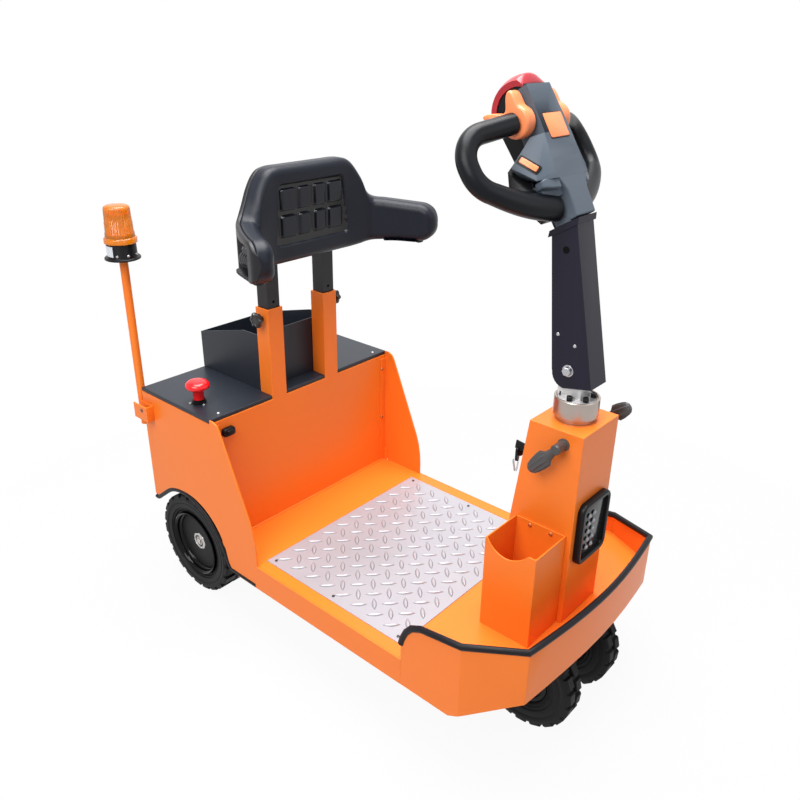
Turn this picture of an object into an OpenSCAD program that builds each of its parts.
// Stand-on tow tractor with a tiller at the front and a battery box behind the deck.
// +X is the way it drives, +Y is its left, +Z is up, and Z = 0 is the floor.

/* [Body] */
// Width over the side plates
body_w = 600; // [560:5:680]
// Length of the battery box behind the deck
box_l = 278; // [260:2:320]
// Height of the battery box's cover above the floor
box_top = 537; // [500:5:600]
// Thickness of the folded body sheet
sheet_t = 4; // [3:0.5:6]
// Height of the standing deck above the floor
deck_top = 196; // [185:1:215]
// Height of the skirts' lower edge above the floor
skirt_bottom = 131; // [120:1:145]
// Where the side plates end and the front tray begins, ahead of the box
deck_l = 587; // [560:1:610]

/* [Tread plate] */
// Gap between the box and the tread plate
tread_gap = 132; // [100:1:140]
// Length of the tread plate
tread_l = 425; // [380:1:430]
// Width of the tread plate
tread_w = 532; // [480:2:560]
// Thickness of the tread plate
tread_t = 3; // [2:0.5:5]

/* [Front tray] */
// Height of the tray's floor above the floor
tray_z = 271; // [265:1:285]
// How far the tray's floor begins ahead of the side plates
tray_lead = 26; // [20:1:36]
// Foremost point of the tray's wall
tray_nose = 872; // [866:1:900]
// Thickness of the rubber edge trim
trim_t = 12; // [8:1:16]

/* [Column] */
// Steering axis, ahead of the box
steer_x = 755; // [745:1:760]
// Width of the steering column
column_w = 134; // [120:2:150]
// Length of the column at its top
column_l = 114; // [100:2:126]
// How much longer the column is at its foot
column_flare = 50; // [0:2:60]
// Height of the column's top above the floor
column_top = 691; // [660:1:720]
// Diameter of the steering shaft
shaft_d = 44; // [30:1:50]
// Diameter of the steering ring
ring_d = 83; // [76:1:100]

/* [Tiller] */
// Height of the tilt pivot above the column's top
pivot_rise = 101; // [90:1:120]
// Length of the tiller's box arm above the pivot
arm_l = 270; // [240:5:320]
// Width of the tiller's box arm
arm_w = 56; // [50:1:64]
// Half of the width over the two hand loops
loop_reach = 212; // [190:2:230]
// Thickness of the hand loops' grip
grip_d = 36; // [30:1:40]

/* [Wheels] */
// Diameter of the rear tyres
rear_d = 270; // [250:2:274]
// Width of the rear tyres
rear_w = 84; // [70:2:90]
// Distance of the rear axle behind the box's front wall
rear_back = 130; // [126:1:134]
// Diameter of the twin drive tyres
front_d = 237; // [220:1:246]
// Width of each drive tyre
front_w = 50; // [40:1:56]
// Distance from the centreline to the inner face of a drive tyre
front_in = 57; // [50:1:62]

/* [Backrest] */
// Outside width of the backrest's post sleeves
sleeve_w = 45; // [40:1:50]
// Distance from the centreline to a sleeve's inner face
sleeve_in = 66; // [60:1:90]
// Height of the sleeves above the cover
sleeve_rise = 218; // [180:2:240]
// Width of the sliding posts
post_w = 36; // [30:1:38]
// Height of the pad's lower edge above the floor
pad_z = 866; // [850:2:900]
// Height of the backrest pad
pad_h = 218; // [200:2:240]

/* [Storage] */
// Height of the bin's rear edge above the cover
bin_rear_h = 98; // [80:2:120]
// Height of the bin's front edge above the cover
bin_front_h = 146; // [120:2:170]
// Width of the basket beside the column
basket_w = 106; // [90:2:110]
// Height of the basket
basket_h = 206; // [180:2:220]

/* [Beacon] */
// Height of the beacon's foot above the floor
beacon_z = 860; // [760:2:900]
// Diameter of the beacon's foot
beacon_d = 91; // [80:1:100]

/* [Hidden] */
half_w = body_w / 2;
gap = 0.3;
smooth = 64;
inner_y = half_w - sheet_t;
cover_t = 10;
wall_top = box_top - cover_t;
rear_x = -box_l;
rear_skirt_z = 229;
arch_r = 151;
arch_x = -rear_back + 3;
arch_z = 140;
tread_front = tread_gap + tread_l;
tray_start = deck_l + tray_lead;
deck_t = 8;
tyre_in = 5;
well_y = half_w - tyre_in - rear_w - 11;
pivot_z = column_top + pivot_rise;
pivot_x = steer_x - 10;

orange = [0.95, 0.40, 0.12];
charcoal = [0.25, 0.27, 0.31];
black = [0.08, 0.08, 0.09];
steel = [0.75, 0.76, 0.78];

// Points along an arc in the plane of an outline.
function arc(c, r, a0, a1, n = 12) = [for (k = [0:n]) let (a = a0 + (a1 - a0) * k / n)
  [c.x + r * cos(a), c.y + r * sin(a)]];

function unit(v) = v / norm(v);

// The outline in XZ is pushed across Y between two places.
module across(y0, y1) {
  translate([0, y1, 0]) rotate([90, 0, 0]) linear_extrude(y1 - y0) children();
}

// A copy on the other side of the centreline joins each shape.
module both_sides() {
  children();
  mirror([0, 1, 0]) children();
}

// A box from its low corner to its high one.
module block(low, high) {
  translate(low) cube(high - low);
}

// A disc or tube whose axis lies along Y, between two places.
module bar_y(x, z, d, y0, y1) {
  translate([x, y1, z]) rotate([90, 0, 0]) cylinder(d = d, h = y1 - y0, $fn = smooth);
}

// A round rod from one point to another.
module rod(a, b, d1, d2) {
  v = b - a;
  translate(a) rotate([0, acos(v.z / norm(v)), atan2(v.y, v.x)])
    cylinder(h = norm(v), d1 = d1, d2 = d2, $fn = 32);
}

// A closed bar along a path in the XY plane, with its own width and depth at each point.
module swept_bar(p, w, h, sides = 20) {
  last = len(p) - 1;
  across_way = [for (k = [0:last]) let (d = unit(p[min(k + 1, last)] - p[max(k - 1, 0)])) [-d.y, d.x]];
  points = [for (k = [0:last], a = [0:sides - 1]) let (q = p[k] + across_way[k] * cos(360 * a / sides) * w[k] / 2)
    [q.x, q.y, sin(360 * a / sides) * h[k] / 2]];
  function at(k, a) = k * sides + a % sides;
  polyhedron(points, concat([[for (a = [sides - 1:-1:0]) at(0, a)], [for (a = [0:sides - 1]) at(last, a)]],
    [for (k = [0:last - 1], a = [0:sides - 1]) [at(k, a), at(k, a + 1), at(k + 1, a + 1)]],
    [for (k = [0:last - 1], a = [0:sides - 1]) [at(k, a), at(k + 1, a + 1), at(k + 1, a)]]), convexity = 6);
}

// ---- Body sheets ----
wing_front = 136;
wing_bend = [[11, box_top], [24, box_top - 5], [33, box_top - 18]];
side_outline = concat(
  [[rear_x, wall_top], [-1, wall_top], [-1, box_top]], wing_bend,
  [[119, 316], [129, 285], [134, 255], [wing_front, 228], [wing_front, deck_top],
   [deck_l, deck_top], [deck_l, skirt_bottom], [60, skirt_bottom], [30, arch_z + 4]],
  [[rear_x + 28, rear_skirt_z], [rear_x, rear_skirt_z]]);

module side_plate(y0, y1) {
  across(y0, y1) difference() {
    polygon(side_outline);
    translate([arch_x, arch_z]) circle(arch_r, $fn = 96);
  }
}

flange_w = 20;
module side_right() {
  color(orange) {
    side_plate(-half_w, -inner_y);
    block([gap, -inner_y, deck_top + gap], [3, -inner_y + flange_w, wall_top - 10]);
  }
}
module side_left() {
  color(orange) mirror([0, 1, 0]) {
    side_plate(-half_w, -inner_y);
    block([gap, -inner_y, deck_top + gap], [3, -inner_y + flange_w, wall_top - 10]);
  }
}

// The post sleeves stand on the front wall and share its sheet.
sleeve_top = box_top + sleeve_rise;
sleeve_y = sleeve_in + sleeve_w / 2;
sleeve_foot = wall_top - 170;
module sleeve() {
  difference() {
    block([-sleeve_w, sleeve_in, sleeve_foot], [0, sleeve_in + sleeve_w, sleeve_top]);
    translate([-sleeve_w / 2, sleeve_y, sleeve_foot - 1])
      linear_extrude(sleeve_top - sleeve_foot + 2) square(post_w + 1, center = true);
  }
}
module front_wall() {
  color(orange) {
    difference() {
      block([-sheet_t, -inner_y + gap, skirt_bottom], [0, inner_y - gap, wall_top]);
      both_sides() block([-sheet_t - 1, well_y, skirt_bottom - 1], [1, half_w, deck_top]);
      both_sides() block([-sheet_t - 1, sleeve_in + 1, sleeve_foot + 1],
        [1, sleeve_in + sleeve_w - 1, wall_top + 1]);
    }
    both_sides() sleeve();
  }
}

module rear_wall() {
  color(orange) block([rear_x, -inner_y + gap, rear_skirt_z],
    [rear_x + sheet_t, inner_y - gap, wall_top]);
}

module cover() {
  color(charcoal) difference() {
    block([rear_x, -half_w, wall_top + gap], [-1 - gap, half_w, box_top]);
    both_sides() block([-sleeve_w - gap, sleeve_in - gap, wall_top],
      [1, sleeve_in + sleeve_w + gap, box_top + 1]);
  }
}

// Floor and wheel wells of the battery box, as one folded sheet.
well_z = rear_d + 16;
tray_floor_z = 178;
well_outline = [[0, tray_floor_z], [well_y, tray_floor_z], [well_y, well_z],
  [inner_y - gap, well_z], [inner_y - gap, well_z + sheet_t], [well_y - sheet_t, well_z + sheet_t],
  [well_y - sheet_t, tray_floor_z + sheet_t], [0, tray_floor_z + sheet_t]];
module battery_tray() {
  color(black) translate([rear_x + sheet_t + gap, 0, 0]) rotate([90, 0, 90])
    linear_extrude(box_l - 2 * sheet_t - 2 * gap) {
      polygon(well_outline);
      mirror([1, 0]) polygon(well_outline);
    }
}

battery_h = 300;
module battery() {
  color(black) block([rear_x + 20, -well_y + 20, tray_floor_z + sheet_t],
    [-sleeve_w - 15, well_y - 20, tray_floor_z + sheet_t + battery_h]);
}

// ---- Storage bin on the cover ----
bin_y = sleeve_in + sleeve_w;
bin_front = -sleeve_w - gap;
bin_t = 3;
bin_side = [[rear_x, box_top], [bin_front, box_top], [bin_front, box_top + bin_front_h],
  [-98, box_top + bin_front_h - 1], [rear_x, box_top + bin_rear_h]];
module bin() {
  color(charcoal) difference() {
    across(-bin_y, bin_y) polygon(bin_side);
    block([rear_x + bin_t, -bin_y + bin_t, box_top + bin_t],
      [bin_front - bin_t, bin_y - bin_t, box_top + 400]);
  }
}

// ---- Backrest ----
post_low = 600;
module backrest_posts() {
  color(black) both_sides() difference() {
    block([-sleeve_w / 2 - post_w / 2, sleeve_y - post_w / 2, post_low],
      [-sleeve_w / 2 + post_w / 2, sleeve_y + post_w / 2, pad_z + pad_h - 50]);
    for (z = [post_low + 70, post_low + 120, post_low + 170])
      translate([0, sleeve_y, z]) rotate([0, 90, 0])
        cylinder(d = 7, h = 200, center = true, $fn = 24);
  }
}

// The pad wraps forward on both sides into two arm wings. Each slice of it is an upright
// capsule: its place in plan, its lower and upper edge, and its thickness.
pad_back = -sleeve_w / 2 + post_w / 2 + gap;
pad_top = pad_z + pad_h;
wing_y = 242;
wing_tip = 196;
wing_d = 48;
pad_slices = [[pad_back + 24, 106, pad_z + 3, pad_top - 1, wing_d],
  [pad_back + 34, 150, pad_z + 7, pad_top - 36, wing_d], [38, 170, pad_z + 11, pad_top - 78, wing_d],
  [56, 194, pad_z + 14, pad_top - 101, wing_d], [104, 222, pad_z + 17, pad_top - 106, wing_d],
  [wing_tip - wing_d / 2, wing_y, pad_z + 18, pad_top - 111, wing_d]];
module pad_slice(p) {
  hull() for (z = [p[2] + p[4] / 2, p[3] - p[4] / 2])
    translate([p[0], p[1], z]) sphere(d = p[4], $fn = 20);
}
// Each wing has a pocket in its outer side for the adjuster.
pocket_x = 103;
pocket_l = 50;
pocket_y = wing_y - 6;
pocket_low = pad_z + 20;
pocket_top = pad_z + 92;
module backrest_pad() {
  color(black) difference() {
    union() {
      hull() both_sides() pad_slice(pad_slices[0]);
      both_sides() for (k = [0:len(pad_slices) - 2]) hull() {
        pad_slice(pad_slices[k]);
        pad_slice(pad_slices[k + 1]);
      }
    }
    both_sides() block([pocket_x, pocket_y, pocket_low], [pocket_x + pocket_l, wing_y + wing_d, pocket_top]);
  }
}

// The adjusters: a ribbed barrel on a bracket over a lip, in the pocket of each wing.
barrel_d = 24;
rib_d = 28;
module wing_hardware() {
  back = pocket_y + gap;
  low_x = pocket_x + gap;
  high_x = pocket_x + pocket_l - gap;
  barrel_z = pocket_low + 40;
  color(black) both_sides() {
    translate([low_x, back + rib_d / 2, barrel_z]) rotate([0, 90, 0]) {
      cylinder(d = barrel_d, h = high_x - low_x, $fn = 32);
      for (k = [0:4]) translate([0, 0, 4 + 9 * k]) cylinder(d = rib_d, h = 4, $fn = 32);
    }
    block([low_x, back, pocket_low + gap], [high_x, back + 4, barrel_z + 12]);
    block([low_x, back, pocket_low + gap], [high_x, back + 30, pocket_low + 6]);
  }
}

module clamp_knobs() {
  color(black) both_sides() translate([-sleeve_w / 2, sleeve_in + sleeve_w, sleeve_top - 25])
    rotate([-90, 0, 0]) {
      cylinder(d = 12, h = 10, $fn = 32);
      translate([0, 0, 10]) cylinder(d = 34, h = 14, $fn = 6);
    }
}

// ---- Deck ----
module deck_frame() {
  color(orange) difference() {
    block([gap, -inner_y + gap, deck_top - deck_t], [tray_start - gap, inner_y - gap, deck_top]);
    block([tread_gap - 1, -tread_w / 2 - 1, deck_top - tread_t],
      [tread_front + 1, tread_w / 2 + 1, deck_top + 1]);
  }
}
module tread_plate() {
  color(steel) block([tread_gap, -tread_w / 2, deck_top - tread_t],
    [tread_front, tread_w / 2, deck_top]);
}
rail_y = 150;
module under_rails() {
  color(black) both_sides() block([gap, rail_y, skirt_bottom + 10],
    [tray_start - 30, rail_y + 40, deck_top - deck_t]);
}

// ---- Front tray ----
corner_a = [deck_l + 148, half_w];
corner_b = [tray_nose - 24, half_w - 54];
bow = [for (k = [1:7]) let (t = k / 8) [corner_b.x + (tray_nose - corner_b.x) * sin(180 * t),
  corner_b.y * (1 - 2 * t)]];
tray_outline = concat([[deck_l, half_w], corner_a, corner_b], bow,
  [[corner_b.x, -corner_b.y], [corner_a.x, -corner_a.y], [deck_l, -half_w]]);

// Moves each point of an open outline inwards by a distance, with mitred corners.
function inward(a, b) = let (d = unit(b - a)) [d.y, -d.x];
function inset(p, d) = [for (k = [0:len(p) - 1])
  let (n1 = inward(p[max(k - 1, 0)], p[max(k, 1)]),
       n2 = inward(p[min(k, len(p) - 2)], p[min(k + 1, len(p) - 1)]),
       m = unit(n1 + n2))
  p[k] + m * d / (m * n1)];

// Height of the rim above the floor at a place along X.
rim_slope = 0.16;
rim_x = deck_l + 49;
function rim_z(x) = tray_z + 33 + (x - rim_x) * rim_slope;
rim_end = [[deck_l, tray_z - 31], [deck_l + 4, tray_z - 15], [deck_l + 13, tray_z + 5],
  [deck_l + 26, tray_z + 21], [rim_x, rim_z(rim_x)]];
tray_band = concat(rim_end, [[tray_nose + 5, rim_z(tray_nose + 5)], [tray_nose + 5, tray_z - 38],
  [corner_b.x, tray_z - 59], [deck_l + 163, skirt_bottom + 22], [deck_l + 124, skirt_bottom],
  [deck_l, skirt_bottom]]);

module tray_ring(out, in) {
  linear_extrude(500) polygon(concat(inset(tray_outline, out), [for (k = [len(tray_outline) - 1:-1:0])
    inset(tray_outline, in)[k]]));
}
module front_tray() {
  color(orange) {
    intersection() {
      tray_ring(0, sheet_t);
      across(-400, 400) polygon(tray_band);
    }
    difference() {
      intersection() {
        translate([0, 0, tray_z - sheet_t]) linear_extrude(sheet_t)
          polygon(inset(tray_outline, sheet_t - 0.5));
        block([tray_start, -half_w, 0], [tray_nose + 10, half_w, 500]);
      }
      translate([steer_x, 0, 0]) cylinder(d = shaft_d + 2 * gap, h = 500, $fn = smooth);
    }
    block([tray_start, -inner_y - 0.5, deck_top - deck_t], [tray_start + sheet_t, inner_y + 0.5, tray_z]);
  }
}

trim_drop = 12;
trim_band = concat([for (q = rim_end) q + [q.x == deck_l ? 0 : -3, 4]],
  [[tray_nose + 9, rim_z(tray_nose + 9) + 4], [tray_nose + 9, rim_z(tray_nose + 9) - trim_drop],
   [rim_x + 4, rim_z(rim_x + 4) - trim_drop], [deck_l + 33, tray_z + 8], [deck_l + 21, tray_z - 7],
   [deck_l + 12, tray_z - 25], [deck_l + 9, tray_z - 35]]);
module tray_trim() {
  color(black) intersection() {
    difference() {
      tray_ring(-(trim_t - sheet_t) / 2, sheet_t + (trim_t - sheet_t) / 2);
      intersection() {
        tray_ring(-gap, sheet_t + gap);
        across(-400, 400) polygon([for (q = tray_band) q + [0, q.y > tray_z - 36 ? gap : 0]]);
      }
    }
    across(-400, 400) polygon(trim_band);
  }
}

// ---- Column and what it carries ----
column_front = steer_x + column_l / 2;
column_rear = steer_x - column_l / 2;
module column() {
  color(orange) difference() {
    across(-column_w / 2, column_w / 2) polygon([[column_front, tray_z], [column_front, column_top],
      [column_rear, column_top], [column_rear - column_flare, tray_z]]);
    translate([steer_x, 0, tray_z - 1]) cylinder(d = shaft_d + 2 * gap, h = 600, $fn = smooth);
  }
}

basket_front = column_front - 11;
basket_rear = basket_front - 114;
basket_t = 3;
scoop_l = 92;
scoop_h = 28;
scoop = [for (k = [0:12]) let (t = k / 12) [basket_rear + 5 + scoop_l * t,
  tray_z + basket_h - scoop_h * pow(sin(180 * pow(t, 0.9)), 0.8)]];
module basket() {
  y_in = -column_w / 2 - gap;
  y_out = y_in - basket_w;
  color(orange) difference() {
    block([basket_rear, y_out, tray_z], [basket_front, y_in, tray_z + basket_h]);
    block([basket_rear + basket_t, y_out + basket_t, tray_z + basket_t],
      [basket_front - basket_t, y_in - basket_t, tray_z + 400]);
    across(y_out - 1, y_out + basket_t + 1) polygon(concat(scoop, [[basket_rear + 50, tray_z + 300]]));
  }
}

lamp_z = 470;
lamp_w = 108;
lamp_h = 128;
lamp_t = 14;
lamp_r = 26;
module headlight() {
  color(black) difference() {
    translate([column_front, 0, lamp_z]) rotate([90, 0, 90]) linear_extrude(lamp_t)
      polygon([for (c = [[1, 1, 0], [-1, 1, 90], [-1, -1, 180], [1, -1, 270]])
        each arc([c[0] * (lamp_w / 2 - lamp_r), c[1] * (lamp_h / 2 - lamp_r)], lamp_r, c[2], c[2] + 90, 8)]);
    block([column_front + lamp_t - 6, -lamp_w / 2 + 12, lamp_z - lamp_h / 2 + 14],
      [column_front + lamp_t + 1, lamp_w / 2 - 12, lamp_z + lamp_h / 2 - 14]);
  }
}

key_z = 612;
key_y = -42;
slope_x = column_flare / (column_top - tray_z);
module key_switch() {
  x = column_rear - (column_top - key_z) * slope_x;
  color(black) translate([x, key_y, key_z]) rotate([0, -90 + atan(slope_x), 0]) {
    cylinder(d = 24, h = 8, $fn = 32);
    cylinder(d = 16, h = 12, $fn = 32);
    translate([-9, -1.5, 12]) cube([18, 3, 20]);
  }
}

// A clamp lever on each side of the column, near its top.
lever_near = [column_front - 40, -column_w / 2, column_top - 23];
lever_far = [column_front - 22, column_w / 2, column_top - 17];
lever_out = 24;
module clamp_lever(foot, dir, swing) {
  elbow = foot + [0, dir * lever_out, 0];
  rod(foot, elbow, 20, 16);
  hull() {
    translate(elbow) sphere(d = 18, $fn = 20);
    translate(elbow + swing * 0.55) sphere(d = 24, $fn = 20);
    translate(elbow + swing) sphere(d = 14, $fn = 20);
  }
}
module clamp_levers() {
  color(black) {
    clamp_lever(lever_near, -1, [-42, -4, -56]);
    clamp_lever(lever_far, 1, [30, 12, 18]);
  }
}

// ---- Steered pieces ----
ring_z = column_top + gap;
ring_foot_h = 13;
ring_h = 18;
module steering_ring() {
  color(steel) translate([steer_x, 0, ring_z]) difference() {
    union() {
      cylinder(d = ring_d - 8, h = ring_foot_h, $fn = 96);
      translate([0, 0, ring_foot_h]) cylinder(d = ring_d, h = ring_h, $fn = 96);
    }
    translate([0, 0, -1]) cylinder(d = shaft_d, h = 60, $fn = 96);
  }
}
bearing_z = tray_z - sheet_t - gap;
shaft_low = bearing_z - 12;
module steering_shaft() {
  color(steel) translate([steer_x, 0, shaft_low]) cylinder(d = shaft_d,
    h = ring_z + ring_foot_h + ring_h - shaft_low, $fn = 96);
}
hub_z = ring_z + ring_foot_h + ring_h;
lug_w = arm_w - 2 * 3 - 10;
module tiller_hub() {
  color(black) {
    translate([steer_x, 0, hub_z]) cylinder(d = ring_d - 14, h = 10, $fn = 64);
    difference() {
      across(-lug_w / 2, lug_w / 2) hull() {
        translate([pivot_x, pivot_z]) circle(22, $fn = 32);
        translate([pivot_x - 22, hub_z + 8]) square([50, 1]);
      }
      bar_y(pivot_x, pivot_z, 16.2, -60, 60);
    }
  }
}

drive_z = front_d / 2;
module drive_unit() {
  color(black) {
    translate([steer_x, 0, bearing_z - 12]) difference() {
      cylinder(d = 190, h = 12, $fn = 64);
      translate([0, 0, -1]) cylinder(d = shaft_d, h = 14, $fn = 64);
    }
    translate([steer_x, 0, 200]) cylinder(d = 104, h = bearing_z - 12 - 200, $fn = 64);
    difference() {
      block([steer_x - 55, -40, drive_z - 50], [steer_x + 55, 40, 205]);
      bar_y(steer_x, drive_z, 30.2, -60, 60);
    }
  }
}

// ---- Wheels ----
// A tyre's section, with rounded shoulders, from its bore to its tread.
module tyre(d, bore, w, shoulder) {
  rotate([90, 0, 0]) rotate_extrude($fn = 96) polygon(concat(
    [[bore / 2, -w / 2 + 6], [bore / 2 + 8, -w / 2 + 2]],
    arc([d / 2 - shoulder, -w / 2 + shoulder], shoulder, -90, 0, 5),
    arc([d / 2 - shoulder, w / 2 - shoulder], shoulder, 0, 90, 5),
    [[bore / 2 + 8, w / 2 - 2], [bore / 2, w / 2 - 6]]));
}
rear_y = half_w - tyre_in - rear_w / 2;
rear_z = rear_d / 2;
rear_bore = 150;
front_bore = 120;
front_y = front_in + front_w / 2;

module rear_tyre(side) {
  color(black) translate([-rear_back, side * rear_y, rear_z]) tyre(rear_d, rear_bore, rear_w, 18);
}
module rear_tyre_right() { rear_tyre(-1); }
module rear_tyre_left() { rear_tyre(1); }

// A dished rim with a hub boss and a cap.
axle_d = 25;
module rear_rim(side) {
  color(charcoal) translate([-rear_back, side * rear_y, rear_z]) rotate([90 * side, 0, 0])
    mirror([0, 0, 1]) rotate_extrude($fn = 64) polygon([
      [axle_d / 2 + 0.05, -22], [26, -22], [26, 0], [58, 4], [60, -rear_w / 2 + 8], [rear_bore / 2, -rear_w / 2 + 6],
      [rear_bore / 2, rear_w / 2 - 6], [rear_bore / 2 + 3, rear_w / 2 - 2], [rear_bore / 2 + 3, rear_w / 2],
      [rear_bore / 2 - 4, rear_w / 2], [62, rear_w / 2 - 10], [60, 12], [30, 8], [28, 26], [24, 30],
      [0, 30], [0, 26.5], [axle_d / 2 + 0.05, 26.5]]);
}
module rear_rim_right() { rear_rim(-1); }
module rear_rim_left() { rear_rim(1); }

axle_half = rear_y + 26;
module rear_axle() {
  color(steel) {
    bar_y(-rear_back, rear_z, axle_d, -axle_half, axle_half);
    both_sides() block([-rear_back - 30, 120, rear_z - 25], [-rear_back + 30, 180, tray_floor_z]);
  }
}

module front_tyres() {
  color(black) both_sides() translate([steer_x, front_y, drive_z]) tyre(front_d, front_bore, front_w, 12);
}
module front_hubs() {
  color(charcoal) {
    bar_y(steer_x, drive_z, 30, -front_y, front_y);
    both_sides() translate([steer_x, front_y, drive_z]) rotate([-90, 0, 0]) rotate_extrude($fn = 64)
      polygon([[0, -10], [30, -10], [50, -4], [52, -front_w / 2 + 6], [front_bore / 2, -front_w / 2 + 6],
        [front_bore / 2, front_w / 2 - 6], [52, front_w / 2 - 6], [50, 8], [24, 8], [22, 20], [0, 20]]);
  }
}

// ---- Tiller ----
// The arm is a folded channel, open behind its foot so that it can tilt.
arm_rear_low = [pivot_x - 34, pivot_z - 6];
arm_front_low = [pivot_x + 50, pivot_z - 25];
arm_top_rear = [pivot_x - 60, pivot_z + arm_l - 33];
arm_top_front = [pivot_x - 14, pivot_z + arm_l];
arm_t = 3;
arm_side = concat([arm_top_rear, arm_rear_low], arc([pivot_x - 4, pivot_z - 8], 29, 180, 262, 6),
  [arm_front_low, arm_top_front]);
module tiller_arm() {
  color(charcoal) {
      difference() {
        across(-arm_w / 2, arm_w / 2) polygon(arm_side);
        across(-arm_w / 2 + arm_t, arm_w / 2 - arm_t) polygon([
          arm_top_rear + [arm_t, -6], arm_rear_low + [arm_t, 60], arm_rear_low + [-20, 60],
          arm_rear_low + [-20, -60], arm_front_low + [-arm_t, -60], arm_front_low + [-arm_t, 0],
          arm_top_front + [-arm_t, -6]]);
      }
      across(-arm_w / 2 - 3, arm_w / 2 + 3) polygon([arm_top_rear + [-6, -3], arm_top_rear + [-4, 9],
        arm_top_front + [4, 8], arm_top_front + [4, -4]]);
      bar_y(pivot_x, pivot_z, 16, -arm_w / 2 - 5, arm_w / 2 + 5);
  }
}

// The head leans back from the arm, in its own frame along the handle's plane:
// X points out of its front face, Y across it and Z along it.
head_lean = 34;
head_foot = [pivot_x - 28, pivot_z + arm_l + 6];
module head_frame() {
  translate([head_foot.x, 0, head_foot.y]) rotate([0, -head_lean, 0]) children();
}
head_l = 226;
neck_half = 32;
top_half = 38;
seat_half = 74;
face_x = 30;
face_low = 21;
neck_high = 8;
neck_low = -4;
split_x = -18;

// A thin slice of the head: its place along the head, and half its outline as depth and half width.
module slice(z, outline) {
  translate([0, 0, z]) linear_extrude(1) union() {
    polygon(outline);
    mirror([0, 1]) polygon(outline);
  }
}
module loft(slices) {
  for (k = [0:len(slices) - 2]) hull() {
    slice(slices[k][0], slices[k][1]);
    slice(slices[k + 1][0], slices[k + 1][1]);
  }
}
function plank(half, back, front) = [[back, 0], [back, half], [front, half], [front, 0]];
function beak(half, back, front) = [[back, 0], [back, half], [front - 19, half], [front, half / 2], [front, 0]];

// The front shell: a flat face with a flare over each grip, chamfered shoulders and a neck.
flare = [[face_x - 4, 40, 140], [face_low + 1, 48, 76], [face_low - 1, 49, 64], [7, 55, 143], [-12, 71, 126],
  [-27, 89, 109], [0, 79, 72], [split_x, 40, 70], [split_x, 40, 134], [-32, 72, 92], [-32, 74, 106]];
module front_shell() {
  loft([[38, beak(62, -32, neck_high)], [64, beak(seat_half, split_x, face_low - 2)]]);
  loft([[64, plank(50, split_x, face_low)], [140, plank(41, split_x, face_x - 2)],
    [head_l, plank(top_half - 2, split_x, face_x)]]);
  loft([[-24, plank(neck_half - 2, -32, neck_low)], [39, plank(neck_half, -32, neck_high)]]);
  both_sides() hull() for (q = flare) translate(q) cube(1);
}
module below_head() {
  across(-60, 60) polygon([arm_top_rear + [-60, 9 + gap], arm_top_rear + [-4, 9 + gap],
    arm_top_front + [4, 8 + gap], arm_top_front + [60, 8 + gap], arm_top_front + [60, -90],
    arm_top_rear + [-60, -90]]);
}
module tiller_head() {
  color([0.46, 0.50, 0.56]) difference() {
    head_frame() front_shell();
    below_head();
  }
}

// The dark shell behind it, with a round crown, the grips' lower seats and a web under each flare.
crown = [-9, 195];
crown_r = 48.5;
web = [[-44, 30, 132], [-36, 30, 132], [-40, 84, 108], [-48, 92, 76], [-24, 88, 66], [-12, seat_half - 6, 58],
  [-46, 96, 62]];
module rear_shell() {
  across(-top_half + 6, top_half - 6) intersection() {
    hull() {
      translate(crown) circle(crown_r, $fn = 64);
      translate([-42, 120]) circle(12, $fn = 32);
      translate([-34, 20]) circle(8, $fn = 32);
      translate([-28, 20]) square([10, 150]);
    }
    translate([-100, 0]) square([100 + face_x - 6, 300]);
  }
  loft([[8, plank(60, -38, neck_low - 4)], [37, plank(seat_half, -44, neck_low)]]);
  loft([[36, plank(seat_half, -44, neck_low)], [62, plank(seat_half, -44, split_x + 4)],
    [92, plank(60, -42, split_x + 2)]]);
  both_sides() hull() for (q = web) translate(q) cube(1);
  translate([-40, -24, -24]) cube([30, 48, 60]);
}
module head_back() {
  color(black) difference() {
    head_frame() rear_shell();
    head_frame() front_shell();
    below_head();
  }
}

// Each hand loop lies in a plane swept back from the head, and thickens towards its lower seat.
wheel_z = 176;
wheel_x = 0;
wheel_w = 26;
wheel_y = top_half + 5;
loop_sweep = 13;
loop_y = 60;
loop_out = (loop_reach - grip_d / 2 - loop_y) / cos(loop_sweep);
loop_bend = 50;
loop_mid = 119;
loop_turn = 55;
lower_r = 300;
low_start = [loop_out - loop_bend, loop_mid] + loop_bend * [cos(loop_turn), -sin(loop_turn)];
low_centre = low_start - lower_r * [cos(loop_turn), -sin(loop_turn)];
low_arc = arc(low_centre, lower_r, -loop_turn, -83, 7);
loop_path = concat([[0, wheel_z]], arc([loop_out - loop_bend, wheel_z - loop_bend], loop_bend, 90, 0, 8),
  arc([loop_out - loop_bend, loop_mid], loop_bend, 0, -loop_turn, 6), [for (k = [1:len(low_arc) - 1]) low_arc[k]]);
low_count = len(low_arc) - 1;
function swell(k) = k < len(loop_path) - low_count ? 0 : 21 * (k - len(loop_path) + low_count + 1) / low_count;
loop_w = [for (k = [0:len(loop_path) - 1]) grip_d + swell(k)];
loop_h = [for (w = loop_w) grip_d + (w - grip_d) * 0.6];
module hand_loop() {
  translate([wheel_x, loop_y, 0]) rotate([0, 0, loop_sweep]) rotate([90, 0, 90])
    swept_bar(loop_path, loop_w, loop_h);
}
module hand_loops() {
  grip_y = wheel_y + wheel_w + gap;
  color(black) head_frame() difference() {
    both_sides() hand_loop();
    block([-90, -seat_half - gap, -40], [90, seat_half + gap, 120]);
    block([-90, -grip_y, 119], [90, grip_y, 260]);
  }
}

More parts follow.
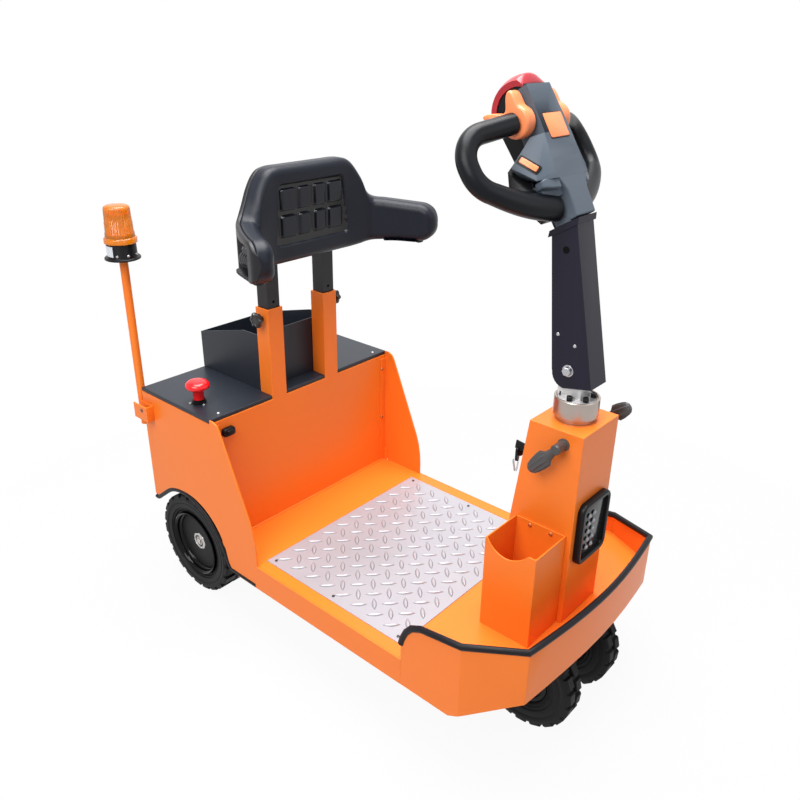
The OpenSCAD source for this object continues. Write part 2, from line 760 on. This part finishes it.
// Butterfly thumb wheels, each with one lobe up and one back.
lobe_up = [12, 42];
lobe_back = [-52, 38];
module thumb_wheels() {
  color(orange) head_frame() both_sides() translate([wheel_x, 0, wheel_z])
    across(wheel_y + gap, wheel_y + wheel_w) {
      circle(d = 54, $fn = 48);
      hull() {
        circle(d = 52, $fn = 32);
        translate(lobe_up) circle(d = 17, $fn = 32);
      }
      hull() {
        circle(d = 34, $fn = 32);
        translate(lobe_back) circle(d = 11, $fn = 32);
      }
    }
}

// The belly switch is a curved cap over the crown.
cap_t = 7;
module belly_switch() {
  color("red") head_frame() across(-top_half + 8, top_half - 8) polygon(concat(
    arc(crown, crown_r + cap_t, 44, 176, 20), arc(crown, crown_r + gap, 176, 44, 20)));
}

// ---- Tow hitch ----
hitch_z = 300;
hitch_t = 12;
hitch_gap = 46;
hitch_reach = 62;
hitch_pin_d = 22;
module hitch_jaw() {
  hull() {
    block([rear_x - 10, -45, 0], [rear_x - 8, 45, hitch_t]);
    translate([rear_x - hitch_reach, 0, 0]) cylinder(r = 28, h = hitch_t, $fn = 64);
  }
}
module tow_hitch() {
  color(black) difference() {
    union() {
      block([rear_x - 10, -60, hitch_z - 62], [rear_x, 60, hitch_z + 62]);
      translate([0, 0, hitch_z + hitch_gap / 2]) hitch_jaw();
      translate([0, 0, hitch_z - hitch_gap / 2 - hitch_t]) hitch_jaw();
    }
    translate([rear_x - hitch_reach, 0, hitch_z - 100]) cylinder(d = hitch_pin_d, h = 200, $fn = 64);
  }
}

// ---- Beacon ----
pole_d = 20;
pole_x = rear_x - 13;
pole_y = -half_w + 6;
pole_low = wall_top - 95;
bracket_out = 20;
bracket_l = 44;
bracket_low = wall_top - 68;
bracket_h = 40;
bracket_t = 3;
module beacon_pole() {
  color(orange) {
    translate([pole_x, pole_y, pole_low]) cylinder(d = pole_d, h = beacon_z - pole_low, $fn = 32);
    difference() {
      block([pole_x, -half_w - bracket_out, bracket_low],
        [rear_x + bracket_l, -half_w - gap, bracket_low + bracket_h]);
      block([pole_x - 1, -half_w - bracket_out + bracket_t, bracket_low - 1],
        [rear_x + bracket_l - bracket_t, -half_w - gap - bracket_t, bracket_low + bracket_h + 1]);
    }
  }
}
foot_h = 38;
lens_h = 86;
module beacon_foot() {
  color(black) translate([pole_x, pole_y, beacon_z]) {
    cylinder(d = beacon_d, h = 5, $fn = 64);
    translate([0, 0, 5]) cylinder(d1 = beacon_d - 9, d2 = beacon_d - 11, h = foot_h - 5, $fn = 64);
  }
}
module beacon_lens() {
  color([1, 0.6, 0.05]) translate([pole_x, pole_y, beacon_z + foot_h + gap]) {
    cylinder(d = beacon_d - 5, h = 14, $fn = 64);
    translate([0, 0, 14]) cylinder(d1 = beacon_d - 17, d2 = beacon_d - 27, h = lens_h - 19, $fn = 64);
    translate([0, 0, lens_h - 5]) cylinder(d1 = beacon_d - 27, d2 = beacon_d - 39, h = 5, $fn = 64);
  }
}

// ---- Controls on the box ----
module stop_button() {
  translate([-100, -half_w + 45, box_top]) {
    color(black) cylinder(d = 44, h = 14, $fn = 48);
    color("red") {
      translate([0, 0, 14]) cylinder(d = 34, h = 22, $fn = 48);
      translate([0, 0, 36]) cylinder(d = 58, h = 20, $fn = 48);
    }
  }
}
module deadman_switch() {
  color(black) block([gap, -half_w + 30, box_top - 57], [16, -half_w + 64, box_top - 29]);
}

// The row's origin lies on the floor, midway between the axles.
module at_origin() {
  translate([-(steer_x - rear_back) / 2, 0, 0]) children();
}

at_origin() side_right();
at_origin() side_left();
at_origin() front_wall();
at_origin() rear_wall();
at_origin() cover();
at_origin() battery_tray();
at_origin() battery();
at_origin() bin();
at_origin() backrest_posts();
at_origin() backrest_pad();
at_origin() wing_hardware();
at_origin() clamp_knobs();
at_origin() deck_frame();
at_origin() tread_plate();
at_origin() under_rails();
at_origin() front_tray();
at_origin() tray_trim();
at_origin() column();
at_origin() basket();
at_origin() headlight();
at_origin() key_switch();
at_origin() clamp_levers();
at_origin() steering_shaft();
at_origin() steering_ring();
at_origin() tiller_hub();
at_origin() drive_unit();
at_origin() front_tyres();
at_origin() front_hubs();
at_origin() tiller_arm();
at_origin() tiller_head();
at_origin() head_back();
at_origin() hand_loops();
at_origin() thumb_wheels();
at_origin() belly_switch();
at_origin() rear_axle();
at_origin() rear_tyre_right();
at_origin() rear_tyre_left();
at_origin() rear_rim_right();
at_origin() rear_rim_left();
at_origin() tow_hitch();
at_origin() beacon_pole();
at_origin() beacon_foot();
at_origin() beacon_lens();
at_origin() stop_button();
at_origin() deadman_switch();
